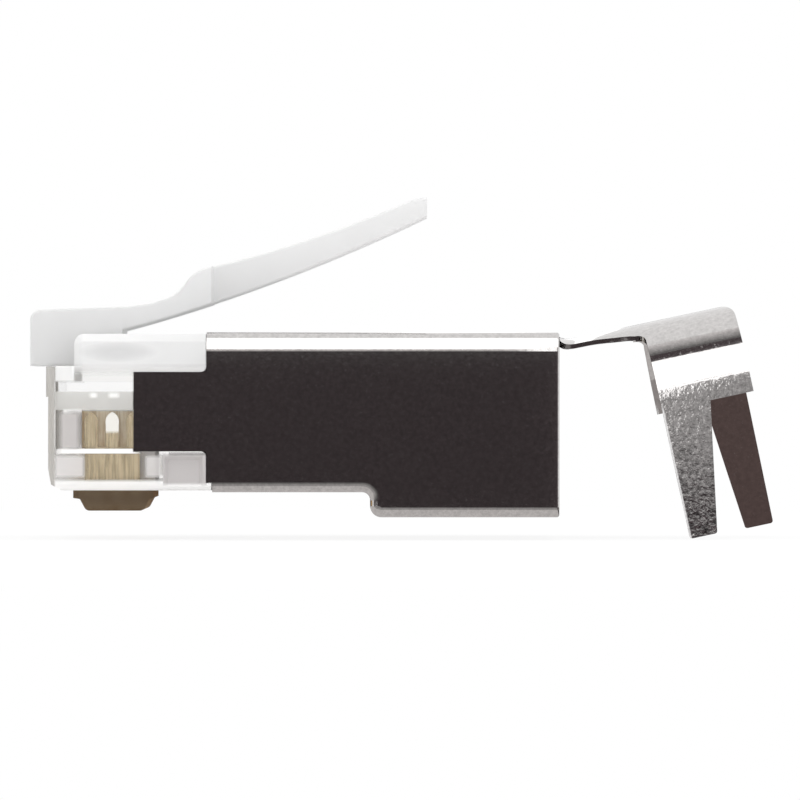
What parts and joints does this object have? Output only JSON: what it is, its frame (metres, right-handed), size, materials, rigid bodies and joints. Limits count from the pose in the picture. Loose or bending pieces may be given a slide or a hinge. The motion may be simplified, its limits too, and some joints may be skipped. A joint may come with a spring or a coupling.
{
  "type": "shielded modular plug",
  "caption": "Shielded modular plug with a clear latch moulding, gold blade contacts and a folded metal sleeve whose tail ends in a cable crimp barrel.",
  "frame": {"origin": "centre of the nose face of the moulding, half way up its height", "axes": "+X along the plug from the nose to the cable end, +Z towards the latch, Y across the width"},
  "size_m": [0.0316, 0.0116, 0.0143],
  "materials": {
    "clear_polycarbonate": "clear moulded polycarbonate, glossy",
    "nickel_plated_sheet": "bright nickel plate with a fine grain",
    "gold_plated_blade": "thin gold plate over nickel, satin"
  },
  "bodies": {
    "plug_body": {"housing": "clear_polycarbonate", "shield": "nickel_plated_sheet", "contact_1": "gold_plated_blade", "contact_2": "gold_plated_blade", "contact_3": "gold_plated_blade", "contact_4": "gold_plated_blade", "contact_5": "gold_plated_blade", "contact_6": "gold_plated_blade", "contact_7": "gold_plated_blade", "contact_8": "gold_plated_blade"},
    "latch": {"latch": "clear_polycarbonate"}
  },
  "joints": [
    {"name": "latch_flex", "type": "hinge", "parent": "plug_body", "child": "latch", "pos_m": [0.00325, 0, 0.00404], "axis": [0, 1, 0], "range_deg": [0, 16], "stiffness_Nm_per_rad": 0.12}
  ]
}
